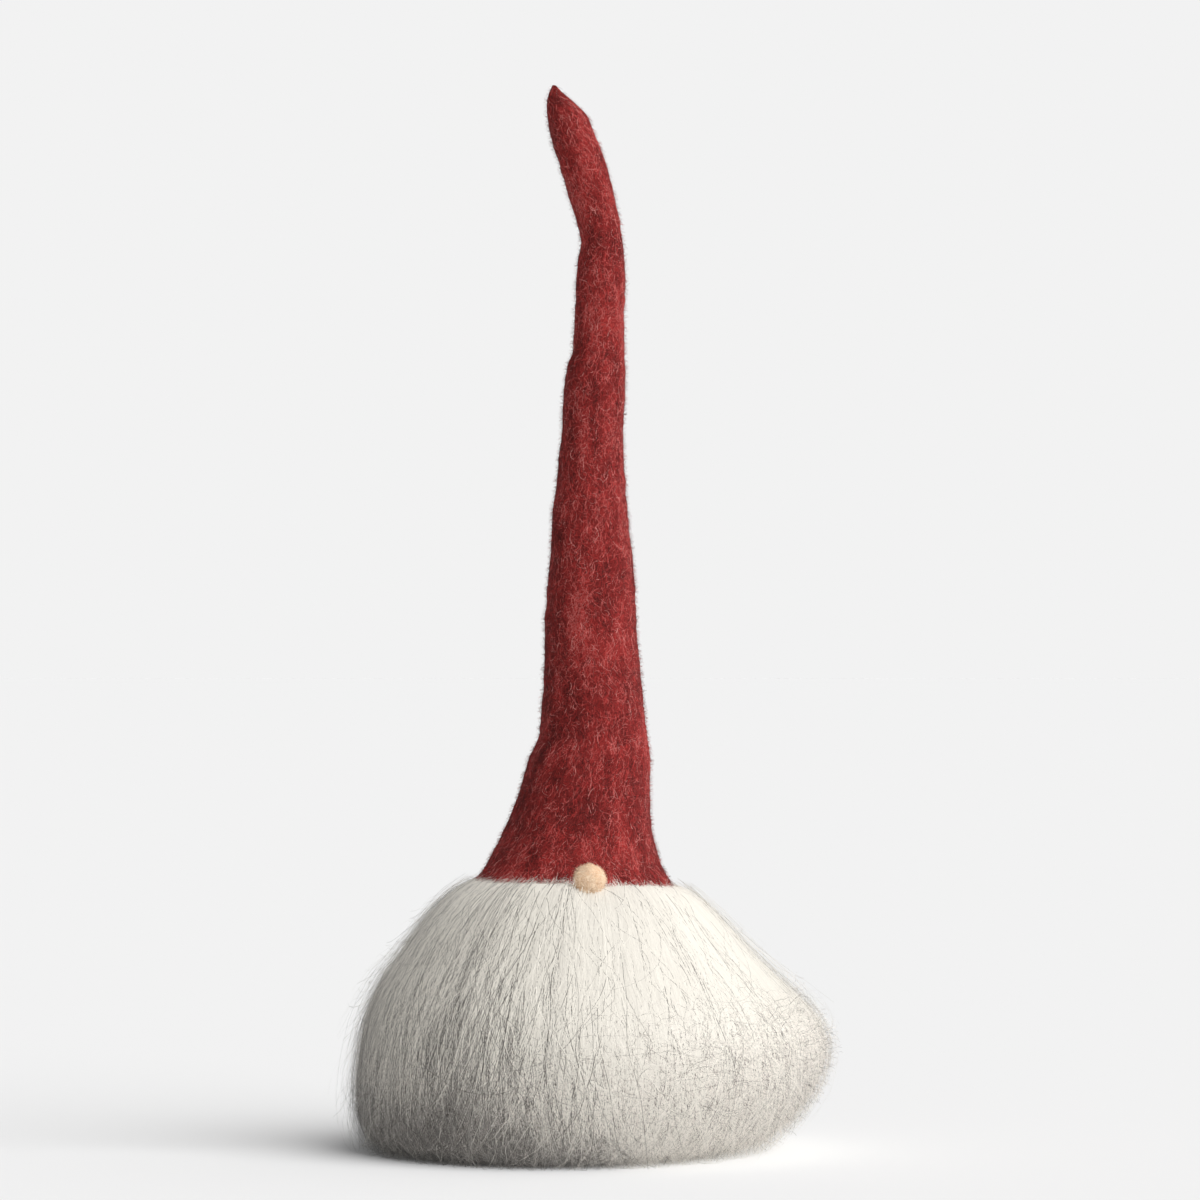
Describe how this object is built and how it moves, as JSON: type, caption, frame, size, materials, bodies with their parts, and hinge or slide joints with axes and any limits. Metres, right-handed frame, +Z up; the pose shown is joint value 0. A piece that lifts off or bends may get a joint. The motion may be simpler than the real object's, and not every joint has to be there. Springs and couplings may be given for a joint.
{
  "type": "tomte gnome figurine",
  "caption": "Free-standing gnome figurine: a tall posable felt hat and a ball nose over a weighted body wrapped in long hanging sheep's wool.",
  "frame": {"origin": "centre of the felt pad's underside, on the dowel's axis, on the surface that the figurine stands on", "axes": "+Z up along the dowel, -Y to the front where the nose is, +X to the right of the front view"},
  "size_m": [0.1762, 0.1682, 0.4003],
  "materials": {
    "grey_felt": "matte",
    "plywood": "satin",
    "zinc_steel": "satin",
    "steel": "satin",
    "beech": "satin",
    "calico": "matte",
    "wadding": "matte",
    "cotton": "matte",
    "wool": "matte",
    "red_felt": "matte",
    "nose_felt": "matte",
    "soft_wire": "satin"
  },
  "bodies": {
    "figure": {"base_pad": "grey_felt", "base_disc": "plywood", "base_screw": "zinc_steel", "weight_disc": "steel", "dowel": "beech", "body_bag": "calico", "body_wadding": "wadding", "neck_tie": "cotton", "skirt_tape": "cotton", "cape_tape": "cotton", "fleece_skirt": "wool", "fleece_cape_left": "wool", "fleece_cape_back": "wool", "fleece_cape_right": "wool", "beard": "wool", "nose": "nose_felt", "nose_thread": "cotton", "hat_cone": "red_felt", "cone_wadding": "wadding", "cone_wire": "soft_wire", "wire_binding_lower": "soft_wire", "wire_binding_upper": "soft_wire"},
    "shaft": {"hat_shaft": "red_felt", "shaft_wadding": "wadding", "shaft_wire": "soft_wire"},
    "top": {"hat_top": "red_felt", "top_wadding": "wadding", "top_wire": "soft_wire"},
    "tip": {"hat_tip": "red_felt", "tip_wadding": "wadding", "tip_wire": "soft_wire"}
  },
  "joints": [
    {"name": "lower_bend", "type": "hinge", "parent": "figure", "child": "shaft", "pos_m": [0, 0, 0.152], "axis": [0, 1, 0], "range_deg": [-12, 12]},
    {"name": "middle_bend", "type": "hinge", "parent": "shaft", "child": "top", "pos_m": [0.0023, 0, 0.2997], "axis": [0, 1, 0], "range_deg": [-20, 20]},
    {"name": "tip_bend", "type": "hinge", "parent": "top", "child": "tip", "pos_m": [0.0036, 0, 0.3428], "axis": [0, 1, 0], "range_deg": [-35, 35]}
  ]
}
